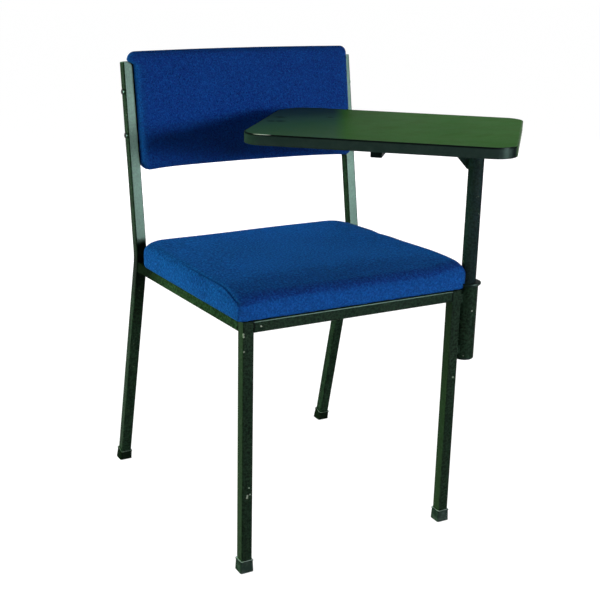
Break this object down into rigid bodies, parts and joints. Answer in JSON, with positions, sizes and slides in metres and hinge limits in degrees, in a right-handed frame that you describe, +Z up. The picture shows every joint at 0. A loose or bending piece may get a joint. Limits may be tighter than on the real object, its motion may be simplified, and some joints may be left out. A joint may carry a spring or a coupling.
{
  "type": "writing tablet chair",
  "caption": "Steel tube side chair with a padded seat and back and a writing tablet on a turning post in a socket beside the front leg.",
  "frame": {"origin": "centre of the overall box at floor level", "axes": "+Z up, -Y the way the sitter faces, +X towards the sitter's left, the side with the writing tablet"},
  "size_m": [0.5992, 0.6508, 0.7976],
  "materials": {
    "frame_paint": "semi-gloss, near-black with a green cast",
    "black_plastic": "matte black",
    "foot_rubber": "matte black",
    "plywood": "raw plywood",
    "blue_fabric": "woven dark blue cloth",
    "dark_screws": "blackened steel",
    "brass_inserts": "plain",
    "tablet_core": "particle board",
    "green_laminate": "fine satin laminate, very dark green",
    "dark_edge": "satin dark edge"
  },
  "bodies": {
    "chair": {"front_leg_left": "frame_paint", "front_leg_right": "frame_paint", "rear_leg_left": "frame_paint", "rear_leg_right": "frame_paint", "front_rail": "frame_paint", "rear_rail": "frame_paint", "side_rail_left": "frame_paint", "side_rail_right": "frame_paint", "upright_caps": "black_plastic", "foot_front_left": "foot_rubber", "foot_front_right": "foot_rubber", "foot_rear_left": "foot_rubber", "foot_rear_right": "foot_rubber", "seat_board": "plywood", "seat_cushion": "blue_fabric", "seat_screws": "dark_screws", "back_panel": "plywood", "back_cushion": "blue_fabric", "back_bolts": "dark_screws", "back_inserts": "brass_inserts", "socket_tube": "frame_paint", "socket_end_cap": "black_plastic", "socket_bush": "black_plastic"},
    "lift": {"post_plug": "black_plastic"},
    "tablet": {"tablet_post": "frame_paint", "post_gusset": "frame_paint", "support_arm": "frame_paint", "cross_bar": "frame_paint", "support_plugs": "black_plastic", "tablet_board": "tablet_core", "tablet_laminate": "green_laminate", "tablet_edge_band": "dark_edge", "tablet_screws": "dark_screws"}
  },
  "joints": [
    {"name": "tablet_lift", "type": "slide", "parent": "chair", "child": "lift", "axis": [0, 0, 1], "range_m": [0, 0.13]},
    {"name": "tablet_swivel", "type": "hinge", "parent": "lift", "child": "tablet", "pos_m": [0.16062, -0.17303, 0.437], "axis": [0, 0, 1], "continuous": true}
  ]
}
